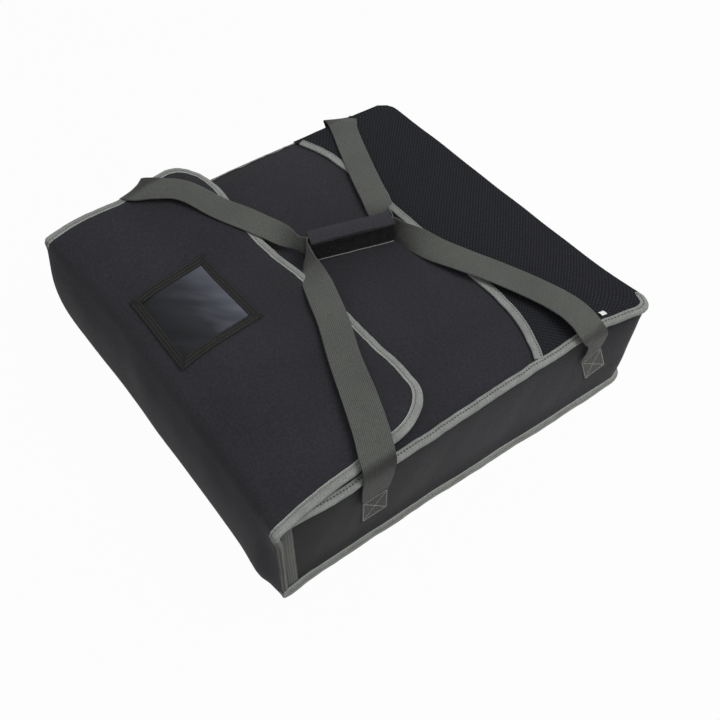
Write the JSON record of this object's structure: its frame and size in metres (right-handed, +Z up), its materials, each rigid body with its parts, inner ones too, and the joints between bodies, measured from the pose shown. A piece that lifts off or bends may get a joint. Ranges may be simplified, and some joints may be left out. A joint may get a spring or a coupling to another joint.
{
  "type": "cooler bag",
  "caption": "Low square insulated carrier with a front that opens down, a fold-over flap with a card holder, a mesh pocket, and webbing handles held together by a padded grip.",
  "frame": {"origin": "on the ground under the middle of the bag, counted over everything from the bow of the front to the back seam", "axes": "+Z up; the front that opens faces -Y; +X is to the right of someone who faces the front"},
  "size_m": [0.5154, 0.5424, 0.1837],
  "materials": {
    "outer_fabric": "coated plain-weave polyester, dull black",
    "foam_board": "closed-cell foam board, white",
    "lining_film": "silver film on cloth, satin",
    "seam_tape": "ribbed grosgrain tape, grey-green",
    "webbing": "woven webbing, grey-green",
    "mesh_net": "open knitted mesh, black",
    "hook_and_loop": "short pile, black",
    "clear_vinyl": "clear soft sheet, glossy",
    "frame_ribbon": "flat ribbon, dark olive",
    "tag_cloth": "plain woven tag, white, blank"
  },
  "bodies": {
    "bag": {"bottom_outer": "outer_fabric", "bottom_foam": "foam_board", "bottom_lining": "lining_film", "wall_outer": "outer_fabric", "wall_foam_right": "foam_board", "wall_foam_back": "foam_board", "wall_foam_left": "foam_board", "wall_lining": "lining_film", "top_outer": "outer_fabric", "top_foam": "foam_board", "top_lining": "lining_film", "rim_tape": "seam_tape", "base_tape": "seam_tape", "wall_edge_tape_right": "seam_tape", "wall_edge_tape_left": "seam_tape", "top_edge_tape": "seam_tape", "pocket_mesh": "mesh_net", "pocket_tape": "seam_tape", "anchor_right_front": "webbing", "anchor_right_back": "webbing", "anchor_left_front": "webbing", "anchor_left_back": "webbing", "side_tag": "tag_cloth", "loop_strip_right": "hook_and_loop", "loop_strip_left": "hook_and_loop"},
    "front": {"front_outer": "outer_fabric", "front_foam": "foam_board", "front_lining": "lining_film", "front_tape_right": "seam_tape", "front_tape_left": "seam_tape"},
    "flap": {"flap_outer": "outer_fabric", "flap_foam": "foam_board", "flap_lining": "lining_film", "flap_tape": "seam_tape", "hook_strip_right": "hook_and_loop", "hook_strip_left": "hook_and_loop", "card_window": "clear_vinyl", "card_frame": "frame_ribbon"},
    "handle_right": {"handle_right": "webbing"},
    "handle_left": {"handle_left": "webbing", "grip_wrap": "outer_fabric", "grip_pad_front": "foam_board", "grip_pad_back": "foam_board", "grip_loop": "hook_and_loop"},
    "grip_cover": {"grip_cover": "outer_fabric", "grip_hook": "hook_and_loop"}
  },
  "joints": [
    {"name": "front_fold", "type": "hinge", "parent": "bag", "child": "front", "pos_m": [0, -0.26033, 0.003], "axis": [1, 0, 0], "range_deg": [0, 80]},
    {"name": "flap_fold", "type": "hinge", "parent": "front", "child": "flap", "pos_m": [0, -0.25596, 0.14936], "axis": [1, 0, 0], "range_deg": [0, 105]},
    {"name": "handle_right_lift", "type": "hinge", "parent": "bag", "child": "handle_right", "pos_m": [0.2461, 0.00707, 0.0913], "axis": [0, 1, 0], "range_deg": [0, 170], "deforming": ["handle_right"]},
    {"name": "handle_left_lift", "type": "hinge", "parent": "bag", "child": "handle_left", "pos_m": [-0.2461, 0.00707, 0.0913], "axis": [0, -1, 0], "range_deg": [0, 170], "deforming": ["handle_left"]},
    {"name": "grip_cover_fold", "type": "hinge", "parent": "handle_left", "child": "grip_cover", "pos_m": [-0.05061, 0.04782, 0.1714], "axis": [-0.2756, -0.9613, 0], "range_deg": [0, 150]}
  ]
}
